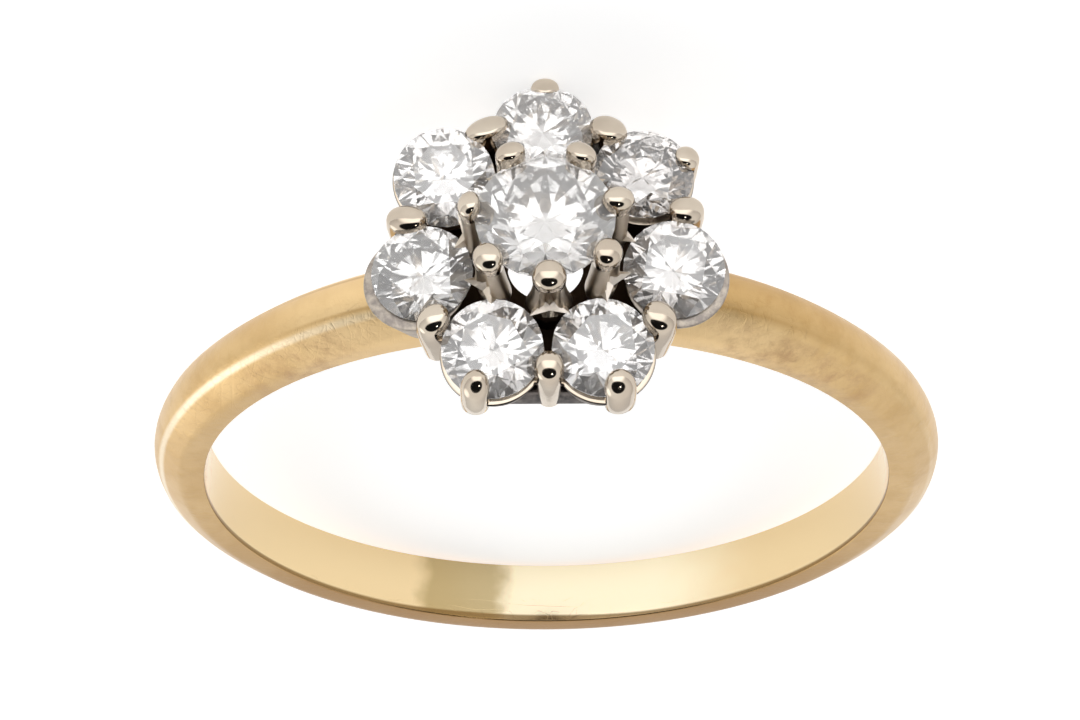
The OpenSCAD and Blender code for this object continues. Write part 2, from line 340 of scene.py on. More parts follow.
clawSizes = {
    "sides": 36,
    "fullness": 0.78,       # below 1 gives a fuller dome
    "rows": (15, 30, 45, 58, 70, 80, 86),
    "footRound": 0.12,
    # Foot and shaft: outwards, share of the claw's lean, shares of its depth and width
    "sharedRings": ((-0.02, 0, 0.78, 0.86), (0.06, 0, 0.86, 0.9), (0.1, 0, 0.94, 0.95)),
    "tipRings": ((0, 1, 0.86, 0.88), (0.02, 0.85, 0.97, 0.98), (0.03, 0.45, 1, 1)),
    "headHeight": 11.38,
    "headOut": 0.06,
    "neck": 0.3,            # from the shaft's end up to the head
    "heel": 0.22,           # from the foot up to the tip claws' shaft
    "waist": 0.1,           # how far above its middle that shaft is fullest
    "sharedRise": 0.32,
    "sharedBend": 0.14,     # how far a head is bent in over the stones
    "tipBend": 0.12,
    "innerHeight": 12.84,
    "innerRise": 0.28,
    "innerBend": 0.08,
    "innerFoot": 10.05,
    "innerLean": 0.26,
    "innerFootShare": 0.8,
    # Height, share of the depth, and flare of the wire where it lies over the stones' edges
    "innerShaft": ((10.6, 0.86, 1), (11.19, 1.0, 1.3), (11.35, 1.04, 1.34), (11.7, 1.0, 1.14),
                   (12.1, 0.96, 1.02), (12.45, 0.95, 1), (12.6, 0.96, 1), (12.66, 1, 1)),
    "grooveFrom": 11.2,
    "grooveTo": 12.62,
    "grooveShare": 0.5,     # how near the groove comes to the middle of the wire
    "grooveRidge": 40,      # degrees round the wire from the groove to its ridges
}
# Columns: angle round the head, reach, half depth, half width, height of the foot
sharedClaws = [
    (114.7, 3.17, 0.32, 0.55, 9.6),
    (169.7, 3.16, 0.48, 0.36, 9.6),
    (218, 3.18, 0.40, 0.36, 9.75),
    (271.3, 3.15, 0.35, 0.35, 9.66),
    (322.8, 3.18, 0.41, 0.38, 9.75),
    (13.6, 3.26, 0.42, 0.36, 9.6),
    (63.3, 3.20, 0.36, 0.46, 9.6),
]
# Columns: stone, angle, reach, half depth, half width, height of the foot, lean of the shaft,
# height of the dome's foot, rise of the dome
tipClaws = [
    (0, 89.9, 4.10, 0.26, 0.33, 9.8, 0.36, 11.28, 0.22),
    (3, 245.9, 3.92, 0.32, 0.34, 10.2, 0, 11.12, 0.5),
    (4, 295.1, 3.94, 0.32, 0.38, 10.2, 0, 11.12, 0.46),
    (6, 34.4, 3.97, 0.28, 0.31, 9.8, 0.2, 11.25, 0.26),
]
# Columns: angle, reach, half depth, half width
innerClaws = [
    (117.8, 1.70, 0.28, 0.36),
    (174, 1.74, 0.26, 0.33),
    (222, 1.75, 0.33, 0.37),
    (273, 1.62, 0.36, 0.39),
    (323, 1.76, 0.33, 0.36),
    (10.5, 1.68, 0.37, 0.31),
    (61, 1.70, 0.28, 0.37),
]


def wireClaw(name, rings, sides):
    # Drawn out ring by ring from its foot: reach, height, half depth, half width
    reach, height, deep, wide = rings[0]
    bpy.ops.mesh.primitive_circle_add(vertices=sides, radius=1, fill_type="NGON", location=(0, 0, 0))
    claw = startEdit(name)
    bpy.ops.transform.resize(value=(deep, wide, 1))
    bpy.ops.transform.translate(value=(reach, 0, height))
    for before, ring in zip(rings, rings[1:]):
        bpy.ops.mesh.extrude_region_move(
            TRANSFORM_OT_translate={"value": (ring[0] - before[0], 0, ring[1] - before[1])})
        bpy.ops.transform.resize(value=(ring[2] / before[2], ring[3] / before[3], 1))
    endEdit(merge=fineSeam)
    return claw


def lowRings(pattern, heights, reach, lean, deep, wide):
    return [(reach + out - lean * share, height, deep * deepShare, wide * wideShare)
            for (out, share, deepShare, wideShare), height in zip(pattern, heights)]


def clawRings(foot, shaft, dome, rise, bend, sizes):
    # foot, shaft rings and dome base are (reach, height, half depth, half width)
    rings = []
    for turn in (-75, -45, -20):
        slope = math.radians(turn)
        rings.append((foot[0], foot[1] + sizes["footRound"] * (1 + math.sin(slope)),
                      foot[2] * math.cos(slope), foot[3] * math.cos(slope)))
    rings += shaft + [dome]
    for turn in sizes["rows"]:
        slope = math.radians(turn)
        small = math.cos(slope) ** sizes["fullness"]
        rings.append((dome[0] - bend * math.sin(slope) ** 2, dome[1] + rise * math.sin(slope),
                      dome[2] * small, dome[3] * small))
    return rings


def standAt(piece, angle):
    applyPlace(piece, Matrix.Rotation(math.radians(angle), 4, "Z"))


def cutGroove(deep, wide, reachAt, sizes):
    # A V-groove between two flats down the outer side of a wire
    ridge = math.radians(sizes["grooveRidge"])
    step = 360 // sizes["sides"]
    for turn in range(0, sizes["grooveRidge"], step):
        here = math.radians(turn)
        flatSlope = (math.cos(ridge) - sizes["grooveShare"]) / math.sin(ridge)
        flat = sizes["grooveShare"] + flatSlope * math.sin(here)
        inwards = deep * (math.cos(here) - flat)

        def onLine(v):
            place = Vector((v.co.x - reachAt(v.co.z), v.co.y, 0))
            around = math.degrees(math.atan2(abs(place.y) / wide, place.x / deep))
            return sizes["grooveFrom"] < v.co.z < sizes["grooveTo"] and abs(around - turn) < step / 2
        pick("VERT", onLine)
        bpy.ops.transform.translate(value=(-inwards, 0, 0))


claws = []
for i, (angle, reach, deep, wide, footHeight) in enumerate(sharedClaws):
    headHeight = clawSizes["headHeight"]
    heights = (footHeight, (footHeight + headHeight) / 2, headHeight - clawSizes["neck"])
    foot, *shaft = lowRings(clawSizes["sharedRings"], heights, reach, 0, deep, wide)
    dome = (reach + clawSizes["headOut"], headHeight, deep, wide)
    rings = clawRings(foot, shaft, dome, clawSizes["sharedRise"], clawSizes["sharedBend"], clawSizes)
    claw = wireClaw(f"shared_claw_{i + 1}", rings, clawSizes["sides"])
    standAt(claw, angle)
    cutAway(claw, seatCutters[i])
    cutAway(claw, seatCutters[(i + 1) % stoneCount])
    claws.append(claw)
for stone, angle, reach, deep, wide, footHeight, lean, headHeight, rise in tipClaws:
    middle = (footHeight + headHeight) / 2
    heights = (footHeight, footHeight + clawSizes["heel"], middle + clawSizes["waist"])
    foot, *shaft = lowRings(clawSizes["tipRings"], heights, reach, lean, deep, wide)
    rings = clawRings(foot, shaft, (reach, headHeight, deep, wide), rise, clawSizes["tipBend"], clawSizes)
    claw = wireClaw(f"tip_claw_{stone + 1}", rings, clawSizes["sides"])
    standAt(claw, angle)
    cutAway(claw, seatCutters[stone])
    claws.append(claw)
for i, (angle, reach, deep, wide) in enumerate(innerClaws):
    low, high = clawSizes["innerFoot"], clawSizes["innerHeight"]
    lean = clawSizes["innerLean"]

    def reachAt(height):
        return reach - lean * (high - height) / (high - low)
    shaft = [(reachAt(z), z, deep * share, wide * share * flare)
             for z, share, flare in clawSizes["innerShaft"]]
    share = clawSizes["innerFootShare"]
    foot = (reach - lean, low, deep * share, wide * share)
    rings = clawRings(foot, shaft, (reach, high, deep, wide), clawSizes["innerRise"],
                      clawSizes["innerBend"], clawSizes)
    claw = wireClaw(f"inner_claw_{i + 1}", rings, clawSizes["sides"])
    bpy.ops.object.mode_set(mode="EDIT")
    cutGroove(deep, wide, reachAt, clawSizes)
    endEdit(merge=fineSeam)
    standAt(claw, angle)
    for cutter in (centreCutter, seatCutters[i], seatCutters[(i + 1) % stoneCount]):
        cutAway(claw, cutter)
    claws.append(claw)
print("claws bent over the stones:", len(claws))


wingSizes = {
    "length": 0.66,
    "half": 0.3,            # half its width at the claw
    "tip": 0.004,
    "flatten": 0.6,
    "root": 0.12,           # how deep it stands in the claw's wire
    "height": 11.42,
    "spread": 46,           # degrees to either side of the claw
    "rise": 12,             # degrees
}


def makeWing(sizes):
    # Pointed leaf with a ridge, cut from the claw's wire, lying along x
    length = sizes["length"]
    bpy.ops.mesh.primitive_cone_add(vertices=4, radius1=sizes["half"], radius2=sizes["tip"], depth=length,
                                    location=(length / 2, 0, 0), rotation=(0, math.pi / 2, 0))
    wing = startEdit("wing")
    bpy.ops.transform.resize(value=(1, 1, sizes["flatten"]))
    endEdit(merge=fineSeam)
    bpy.ops.object.transform_apply(location=True, rotation=True, scale=True)
    return wing


wingPattern = makeWing(wingSizes)
wings = []
for i, (angle, reach, _, _) in enumerate(innerClaws):
    for turn, stone in ((-wingSizes["spread"], i), (wingSizes["spread"], (i + 1) % stoneCount)):
        wing = copyOf(wingPattern, f"wing_{len(wings) + 1}")
        applyPlace(wing, Matrix.Rotation(math.radians(angle), 4, "Z")
                   @ Matrix.Translation((reach - wingSizes["root"], 0, wingSizes["height"]))
                   @ Matrix.Rotation(math.radians(turn), 4, "Z")
                   @ Matrix.Rotation(math.radians(-wingSizes["rise"]), 4, "Y"))
        cutAway(wing, seatCutters[stone])
        wings.append(wing)
print("wings laid over the stones' edges:", len(wings))


# Cups and gallery

cupSizes = {
    "rim": 1.2,
    "wall": 0.15,
    "edge": 0.04,           # rounding of the rim's outer edge
    "lipSlope": (0.14, 0.2),    # inwards and downwards, beneath the rim's flat lip
    "steps": 96,
    "polished": 0.02,       # how far below the rim the polish reaches
    "arched": {"foot": 1.02, "low": 1.02, "drop": 0.28, "lip": 0.24},
    # The two cups that meet the shoulders reach further down and are blunt
    "blunt": {"foot": 0.72, "low": 1.75, "drop": 0.1, "lip": 0.45},
}
archSizes = {"radius": 1.0, "drop": 1.62, "reach": 1.25, "depth": 1.6}
shoulderStones = (2, 5)
# Where each cup stands off its stone: outwards, round the head
cupShifts = [(0, 0), (0, 0), (0.2, 0.12), (0.07, 0), (0.07, 0), (0.11, -0.14), (0, 0)]
# roomTop and roomFoot: how far the shank is cut away above the plate and beneath the collar
gallerySizes = {"hole": 0.88, "top": 10.2, "thick": 0.5, "roomTop": 10.6, "steps": 128}
collarSizes = {"radius": 2.45, "wall": 0.6, "foot": 8.52, "intoPlate": 0.2, "roomFoot": 7.5}
frontBarSizes = {"shift": 0.02, "reach": 3.26, "height": 10.15, "long": 2.8, "thick": 0.2, "tall": 0.64,
                 "round": 0.04, "roundSteps": 3}


def turned(name, profile, steps):
    # A closed profile of (radius, height) points spun about the vertical
    bpy.ops.mesh.primitive_circle_add(vertices=len(profile), radius=1, location=(0, 0, 0))
    piece = startEdit(name)
    starts = [v.co.copy() for v in piece.data.vertices]
    for start, (radius, height) in zip(starts, profile):
        pick("VERT", lambda v: (v.co - start).length < seamWidth)
        bpy.ops.transform.translate(value=Vector((radius, 0, height)) - start)
    bpy.ops.mesh.select_all(action="SELECT")
    bpy.ops.mesh.spin(steps=steps, angle=2 * math.pi, center=(0, 0, 0), axis=(0, 0, 1))
    endEdit(merge=turnedSeam)
    return piece


def seatCup(name, form, sizes):
    rim, edge = sizes["rim"], sizes["edge"]
    top, low, foot = -form["drop"], -form["low"], form["foot"]
    lipEnd = rim - form["lip"]
    slopeIn, slopeDown = sizes["lipSlope"]
    profile = [
        (foot, low),
        (rim, top - edge),
        (rim - 0.3 * edge, top - 0.3 * edge),
        (rim - edge, top),
        (lipEnd, top),
        (lipEnd - slopeIn, top - slopeDown),
        (foot - sizes["wall"], low),
    ]
    return turned(name, profile, sizes["steps"])


def keepCastSkin(cup, below):
    # The wall below this height has the second material, the dull cast skin
    cup.data.materials.append(None)
    cup.data.materials.append(None)
    only(cup)
    bpy.ops.object.mode_set(mode="EDIT")
    pick("FACE", lambda f: f.calc_center_median().z < below)
    cup.active_material_index = 1
    bpy.ops.object.material_slot_assign()
    bpy.ops.object.mode_set(mode="OBJECT")


def plainCone(name, lowRadius, highRadius, low, high):
    bpy.ops.mesh.primitive_cone_add(vertices=64, radius1=lowRadius, radius2=highRadius, depth=high - low,
                                    location=(0, 0, (low + high) / 2))
    bpy.context.object.name = name
    bpy.ops.object.transform_apply(location=True, rotation=True, scale=True)
    return bpy.context.object


# An arch under the rim, between the two shared claws
archedCup = seatCup("arched_cup", cupSizes["arched"], cupSizes)
bpy.ops.mesh.primitive_cylinder_add(vertices=64, radius=archSizes["radius"], depth=archSizes["depth"],
                                    location=(archSizes["reach"], 0, -archSizes["drop"]),
                                    rotation=(0, math.pi / 2, 0))
archCutter = bpy.context.object
cutAway(archedCup, archCutter)
keepCastSkin(archedCup, -cupSizes["arched"]["drop"] - cupSizes["polished"])
bluntCup = seatCup("blunt_cup", cupSizes["blunt"], cupSizes)
keepCastSkin(bluntCup, 0)
cups = []
for i, (shiftOut, shiftRound) in enumerate(cupShifts):
    cup = copyOf(bluntCup if i in shoulderStones else archedCup, f"cup_{i + 1}")
    applyPlace(cup, seatMatrix(i) @ Matrix.Translation((shiftOut, shiftRound, 0)))
    cutAway(cup, seatCutters[i])
    cups.append(cup)

plateTop = gallerySizes["top"]
plateFoot = plateTop - gallerySizes["thick"]
gallery = turned("gallery", [(gallerySizes["hole"], plateFoot), (cluster["ring"], plateFoot),
                             (cluster["ring"], plateTop), (gallerySizes["hole"], plateTop)],
                 gallerySizes["steps"])
for cutter in seatCutters:
    cutAway(gallery, cutter)
collarOuter = collarSizes["radius"]
collarInner = collarOuter - collarSizes["wall"]
collarTop = plateFoot + collarSizes["intoPlate"]
collar = turned("collar", [(collarInner, collarSizes["foot"]), (collarOuter, collarSizes["foot"]),
                           (collarOuter, collarTop), (collarInner, collarTop)], gallerySizes["steps"])

# The bar behind the middle front claw
bar = frontBarSizes
bpy.ops.mesh.primitive_cube_add(size=1, location=(bar["shift"], -bar["reach"], bar["height"]))
frontBar = startEdit("front_bar")
bpy.ops.transform.resize(value=(bar["long"], bar["thick"], bar["tall"]))
bpy.ops.mesh.bevel(offset=bar["round"], segments=bar["roundSteps"])
endEdit()
for cutter in seatCutters[3:5]:
    cutAway(frontBar, cutter)
print("cups and gallery made")

# The shank stops where the head stands between its shoulders
gap = cluster["gap"]
plateRadius = cluster["ring"] + gap
headRooms = [
    plainCone("collar_room", collarOuter + gap, collarOuter + gap, collarSizes["roomFoot"], plateTop),
    plainCone("plate_room", plateRadius, plateRadius, plateFoot - gap, gallerySizes["roomTop"]),
]
blunt = cupSizes["blunt"]
for i in shoulderStones:
    room = plainCone(f"cup_room_{i + 1}", blunt["foot"] + gap, cupSizes["rim"] + gap + cupSizes["edge"],
                     -blunt["low"] - gap, 0)
    applyPlace(room, seatMatrix(i) @ Matrix.Translation((*cupShifts[i], 0)))
    headRooms.append(room)
for room in headRooms:
    cutAway(shank, room)
print("shank cut to the head")

bpy.ops.object.select_all(action="DESELECT")
helpers = seatCutters + headRooms + [outerCutter, centreCutter, wingPattern, archCutter, archedCup, bluntCup]
for helper in helpers:
    helper.select_set(True)
bpy.ops.object.delete()

finishPiece(shank, smoothAngle=60)
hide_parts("shank")
settingPieces = claws + wings + cups + [gallery, collar, frontBar]
for piece in settingPieces:
    finishPiece(piece)
    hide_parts("setting")


# Studio

studio = {
    "floorSize": 2.0,
    "floorShade": 0.7,
    "floorGlow": 0.595,
    "floorRoughness": 0.9,
    "sky": 1.1,
    "horizon": 0.8,
    "skyFrom": 0.6,         # share of the way up where the sky is at its brightest
}
# Columns: direction about the ring (side, finger axis, head), squeeze along the side,
# inner and outer angle in degrees, brightness
cards = [
    ((0, 0.15, 0.99), 1, 22, 50, 2.1),
    ((0, -0.86, 0.51), 0.75, 34, 38, 0.01),
    ((0.3, -0.8, 0.5), 1, 2, 4, 10),
    ((-0.76, -0.45, -0.46), 1, 8, 22, 2.0),
]


def buildStudio(settings):
    bpy.ops.mesh.primitive_plane_add(size=settings["floorSize"], location=(0, 0, 0))
    floor = bpy.context.object
    floor.name = "floor"
    paper = bpy.data.materials.new("white_paper")
    paper.use_nodes = True
    shader = paper.node_tree.nodes["Principled BSDF"]
    shader.inputs["Base Color"].default_value = (settings["floorShade"],) * 3 + (1,)
    shader.inputs["Roughness"].default_value = settings["floorRoughness"]
    shader.inputs["Emission Color"].default_value = (1, 1, 1, 1)
    shader.inputs["Emission Strength"].default_value = settings["floorGlow"]
    floor.data.materials.append(paper)
    world = bpy.data.worlds.new("studio")
    bpy.context.scene.world = world
    world.use_nodes = True
    tree = world.node_tree
    background = tree.nodes["Background"]
    where = tree.nodes.new("ShaderNodeTexCoord")
    split = tree.nodes.new("ShaderNodeSeparateXYZ")
    tree.links.new(where.outputs["Generated"], split.inputs[0])
    height = tree.nodes.new("ShaderNodeMapRange")
    height.interpolation_type = "SMOOTHSTEP"
    height.inputs["From Max"].default_value = settings["skyFrom"]
    height.inputs["To Min"].default_value = settings["horizon"]
    height.inputs["To Max"].default_value = settings["sky"]
    tree.links.new(split.outputs["Z"], height.inputs["Value"])
    light = height.outputs["Result"]
    for direction, squeeze, inner, outer, brightness in cards:
        facing = layDown.to_3x3() @ Vector(direction)
        facing.x *= squeeze
        facing.normalize()
        squash = tree.nodes.new("ShaderNodeVectorMath")
        squash.operation = "MULTIPLY"
        squash.inputs[1].default_value = (squeeze, 1, 1)
        tree.links.new(where.outputs["Generated"], squash.inputs[0])
        level = tree.nodes.new("ShaderNodeVectorMath")
        level.operation = "NORMALIZE"
        tree.links.new(squash.outputs[0], level.inputs[0])
        dot = tree.nodes.new("ShaderNodeVectorMath")
        dot.operation = "DOT_PRODUCT"
        tree.links.new(level.outputs[0], dot.inputs[0])
        dot.inputs[1].default_value = facing
        edge = tree.nodes.new("ShaderNodeMapRange")
        edge.interpolation_type = "SMOOTHSTEP"
        edge.inputs["From Min"].default_value = math.cos(math.radians(outer))
        edge.inputs["From Max"].default_value = math.cos(math.radians(inner))
        tree.links.new(dot.outputs["Value"], edge.inputs["Value"])
        mix = tree.nodes.new("ShaderNodeMix")
        mix.data_type = "FLOAT"
        tree.links.new(edge.outputs["Result"], mix.inputs["Factor"])
        tree.links.new(light, mix.inputs[2])
        mix.inputs[3].default_value = brightness
        light = mix.outputs[0]
    tree.links.new(light, background.inputs["Strength"])
    background.inputs["Color"].default_value = (1, 1, 1, 1)


buildStudio(studio)
bpy.context.scene.view_settings.view_transform = "Standard"
bpy.context.scene.cycles.max_bounces = 32
bpy.context.scene.cycles.transmission_bounces = 32
bpy.context.scene.cycles.glossy_bounces = 16


# Finishes

def newGroup(name, inputs, outputs):
    group = bpy.data.node_groups.new(name, "ShaderNodeTree")
    for label, value in inputs:
        socket = group.interface.new_socket(name=label, in_out="INPUT", socket_type="NodeSocketFloat")
        socket.default_value = value
    for label in outputs:
        group.interface.new_socket(name=label, in_out="OUTPUT", socket_type="NodeSocketFloat")
    return group, group.nodes.new("NodeGroupInput"), group.nodes.new("NodeGroupOutput")


def plug(tree, value, socket):
    if hasattr(value, "is_output"):
        tree.links.new(value, socket)
    else:
        socket.default_value = value


def calc(tree, operation, first, second=0.0):
    node = tree.nodes.new("ShaderNodeMath")
    node.operation = operation
    plug(tree, first, node.inputs[0])
    plug(tree, second, node.inputs[1])
    return node.outputs[0]


def times(tree, first, *others):
    for other in others:
        first = calc(tree, "MULTIPLY", first, other)
    return first


def plus(tree, first, second):
    return calc(tree, "ADD", first, second)


def minus(tree, first, second):
    return calc(tree, "SUBTRACT", first, second)


def apart(tree, first, second):
    return calc(tree, "ABSOLUTE", minus(tree, first, second))


def fade(tree, value, start, end, low=0.0, high=1.0):
    # Smooth step from start to end
    node = tree.nodes.new("ShaderNodeMapRange")
    node.interpolation_type = "SMOOTHSTEP"
    plug(tree, value, node.inputs["Value"])
    plug(tree, start, node.inputs["From Min"])
    plug(tree, end, node.inputs["From Max"])
    node.inputs["To Min"].default_value = low
    node.inputs["To Max"].default_value = high
    return node.outputs["Result"]


def blend(tree, factor, first, second):
    node = tree.nodes.new("ShaderNodeMix")
    node.data_type = "RGBA"
    plug(tree, factor, node.inputs[0])
    plug(tree, first if hasattr(first, "is_output") else first + (1,), node.inputs[6])
    plug(tree, second if hasattr(second, "is_output") else second + (1,), node.inputs[7])
    return node.outputs[2]


def objectPlace(tree):
    return tree.nodes.new("ShaderNodeTexCoord").outputs["Object"]


def noise(tree, vector, scale, detail=2.0, roughness=0.5):
    node = tree.nodes.new("ShaderNodeTexNoise")
    plug(tree, scale, node.inputs["Scale"])
    node.inputs["Detail"].default_value = detail
    node.inputs["Roughness"].default_value = roughness
    tree.links.new(vector, node.inputs["Vector"])
    return node.outputs["Fac"]


def ringPlaceGroup():
    # Where a point lies on the ring, in mm and degrees
    group, _, out = newGroup("ringPlace", [], ["Side", "Height", "Around", "Reach", "Across"])
    centred = group.nodes.new("ShaderNodeVectorMath")
    centred.operation = "SUBTRACT"
    centred.inputs[1].default_value = ringCentre
    group.links.new(objectPlace(group), centred.inputs[0])
    parts = []
    for direction in (toSide, -toFront, toHead):
        dot = group.nodes.new("ShaderNodeVectorMath")
        dot.operation = "DOT_PRODUCT"
        dot.inputs[1].default_value = direction / millimetre
        group.links.new(centred.outputs[0], dot.inputs[0])
        parts.append(dot.outputs["Value"])
    across, side, height = parts
    places = {
        "Side": side,
        "Height": height,
        "Across": across,
        "Reach": calc(group, "SQRT", plus(group, times(group, across, across), times(group, side, side))),
        "Around": times(group, calc(group, "ARCTAN2", height, across), 180 / math.pi),
    }
    for label, value in places.items():
        group.links.new(value, out.inputs[label])
    return group


def scratchGroup():
    # Hairlines that run three ways, as worn metal has
    group, given, out = newGroup("hairScratches", [("Density", 900.0), ("Width", 0.02)], ["Lines"])
    where = objectPlace(group)
    total = 0.0
    for turn, stretch in (((0.3, 0.2, 0.5), (1, 0.06, 1)), ((1.1, 0.7, -0.4), (0.07, 1, 1)),
                          ((-0.5, 1.3, 0.9), (1, 1, 0.05))):
        lay = group.nodes.new("ShaderNodeMapping")
        lay.inputs["Rotation"].default_value = turn
        lay.inputs["Scale"].default_value = stretch
        group.links.new(where, lay.inputs["Vector"])
        grain = noise(group, lay.outputs[0], given.outputs["Density"], 1)
        line = fade(group, apart(group, grain, 0.5), 0.0, given.outputs["Width"], 1.0, 0.0)
        total = calc(group, "MAXIMUM", line, total)
    group.links.new(total, out.inputs["Lines"])
    return group


# Where painted shade darkens the recesses
recessShadeLook = {
    "top": (10.7, 11.15),   # mm above the finger axis, from full painted shade to none
    "foot": (9.2, 9.6),     # the same, from none to full painted shade
    "reach": (2.9, 3.35),   # mm from the head's axis, from full painted shade to none
    "ragged": 0.7,
}


def recessShadeGroup(look):
    # Painted shade: dark colour in the recesses, low down and near the head's axis, where shade falls
    group, given, out = newGroup("paintedRecessShade", [("Height", 0.0), ("Reach", 0.0)], ["Film"])
    grain = minus(group, noise(group, objectPlace(group), 1800, 3), 0.5)
    height = plus(group, given.outputs["Height"], times(group, grain, look["ragged"]))
    low = fade(group, height, *look["top"], 1.0, 0.0)
    inside = fade(group, given.outputs["Reach"], *look["reach"], 1.0, 0.0)
    above = fade(group, height, *look["foot"])
    group.links.new(times(group, low, inside, above), out.inputs["Film"])
    return group


ringPlace = ringPlaceGroup()
hairScratches = scratchGroup()
paintedRecessShade = recessShadeGroup(recessShadeLook)


def useGroup(tree, group, **values):
    # Gives back the group's outputs
    node = tree.nodes.new("ShaderNodeGroup")
    node.node_tree = group
    for label, value in values.items():
        plug(tree, value, node.inputs[label])
    return node.outputs


def newFinish(name, metallic=1.0):
    made = bpy.data.materials.new(name)
    made.use_nodes = True
    shader = made.node_tree.nodes["Principled BSDF"]
    shader.inputs["Metallic"].default_value = metallic
    return made, made.node_tree, shader


def bump(tree, height, distance, shader):
    node = tree.nodes.new("ShaderNodeBump")
    node.inputs["Strength"].default_value = 1
    node.inputs["Distance"].default_value = distance
    tree.links.new(height, node.inputs["Height"])
    tree.links.new(node.outputs["Normal"], shader.inputs["Normal"])


def patch(tree, around, middle, half, soft):
    # 1 within half degrees of a place round the band
    away = apart(tree, around, middle)
    return fade(tree, away, half - soft / 2, half + soft / 2, 1.0, 0.0)


satinLook = {
    "gold": (0.68, 0.465, 0.21),
    "deep": (0.55, 0.34, 0.12),
    # A painted sheen colour, for the crest and chamfers near the head
    "paintedSheen": (0.90, 0.67, 0.36),
    "wear": (0.45, 0.26, 0.12),
    # A painted shade colour, for the front edge away from the head
    "paintedLowShade": (0.38, 0.21, 0.07),
    # A painted highlight colour, for the ridges
    "ridge": (0.88, 0.75, 0.54),
    "roughness": 0.4,
    "coat": 0.45,
    "coatRoughness": 0.3,
    "bump": 0.000009,
    # Degrees round the band: the middle, half the length and the softness of a place
    "nearHead": (90, 38, 26),
    "rightWear": (48, 16, 14),
    "leftWear": (130, 10, 12),
    "lowHalf": (-90, 60, 50),
}


def satinGold(look):
    made, tree, shader = newFinish("satin_gold")
    place = useGroup(tree, ringPlace)
    around, side, across = place["Around"], place["Side"], place["Across"]
    where = objectPlace(tree)
    cloud = fade(tree, noise(tree, where, 420, 4, 0.6), 0.35, 0.68)
    smear = fade(tree, noise(tree, where, 1500, 5, 0.65), 0.4, 0.7)
    colour = blend(tree, times(tree, cloud, 0.4), look["gold"], look["deep"])
    colour = blend(tree, times(tree, smear, 0.45), colour, look["deep"])
    # Warmer on the right shoulder
    nearHead = patch(tree, around, *look["nearHead"])
    frontEdge = fade(tree, side, -0.45, -0.75)
    crest = fade(tree, side, -0.6, -0.4)
    right = fade(tree, across, -2.0, 2.0, 0.1, 1.0)
    patchy = plus(tree, times(tree, smear, 0.4), 0.5)
    colour = blend(tree, times(tree, nearHead, crest, right, patchy), colour, look["deep"])
    # Painted sheen: lighter colour near the head on the left shoulder's crest and on both front chamfers,
    # where light falls
    left = fade(tree, across, -1.0, -5.0)
    paintedSheen = times(tree, nearHead, calc(tree, "MAXIMUM", frontEdge, left), 0.75)
    colour = blend(tree, paintedSheen, colour, look["paintedSheen"])
    # Brown wear along the shoulders' front edges
    shoulder = calc(tree, "MAXIMUM", patch(tree, around, *look["rightWear"]),
                    patch(tree, around, *look["leftWear"]))
    fleck = fade(tree, noise(tree, where, 2200, 5, 0.7), 0.36, 0.78)
    colour = blend(tree, times(tree, frontEdge, shoulder, fleck, 0.75), colour, look["wear"])
    # Painted shade: the front edge is darker on the half of the band away from the head
    paintedLowShade = times(tree, fade(tree, side, -0.55, -0.74), patch(tree, around, *look["lowHalf"]), 0.9)
    colour = blend(tree, paintedLowShade, colour, look["paintedLowShade"])
    # The ridges lie further out where the band widens. A painted highlight runs along them, strongest on the
    # left, with a line of painted shade beside them near the head
    spread = times(tree, minus(tree, place["Height"], shankSizes["flareHeight"]), 0.0135)
    ridgeLine = plus(tree, calc(tree, "MAXIMUM", spread, 0.0), shankSizes["ridgeSide"])
    inwards = minus(tree, ridgeLine, calc(tree, "ABSOLUTE", side))
    ridge = fade(tree, calc(tree, "ABSOLUTE", inwards), 0.015, 0.09, 1.0, 0.0)
    paintedRidgeHighlight = times(tree, left, minus(tree, 0.8, times(tree, nearHead, 0.35)))
    colour = blend(tree, times(tree, ridge, paintedRidgeHighlight), colour, look["ridge"])
    paintedShadeLine = fade(tree, apart(tree, inwards, 0.14), 0.0, 0.07, 1.0, 0.0)
    colour = blend(tree, times(tree, paintedShadeLine, nearHead, 0.7), colour, look["deep"])
    tree.links.new(colour, shader.inputs["Base Color"])
    dull = plus(tree, plus(tree, times(tree, cloud, 0.08), times(tree, nearHead, 0.12)), look["roughness"])
    tree.links.new(minus(tree, dull, times(tree, ridge, 0.12)), shader.inputs["Roughness"])
    lines = useGroup(tree, hairScratches, Density=2600.0, Width=0.02)["Lines"]
    bump(tree, minus(tree, smear, times(tree, lines, 0.3)), look["bump"], shader)
    shader.inputs["Coat Weight"].default_value = look["coat"]
    shader.inputs["Coat Roughness"].default_value = look["coatRoughness"]
    return made


polishedLook = {
    "gold": (0.82, 0.63, 0.36),
    # A painted highlight colour
    "cream": (1.0, 0.90, 0.66),
    # A painted dark reflection colour
    "paintedDarkReflection": (0.40, 0.29, 0.12),
    # A painted shade colour, for the front edge
    "edge": (0.22, 0.125, 0.04),
    "roughness": 0.12,
    "bump": 0.000002,
    # Degrees round the band, as in satinLook
    "darkReflectionPlace": (-102, 7.5, 3.5),
    "paintedHighlightPlace": (-78.5, 22, 24),
    "edgeLift": (-96, 15, 20),
}


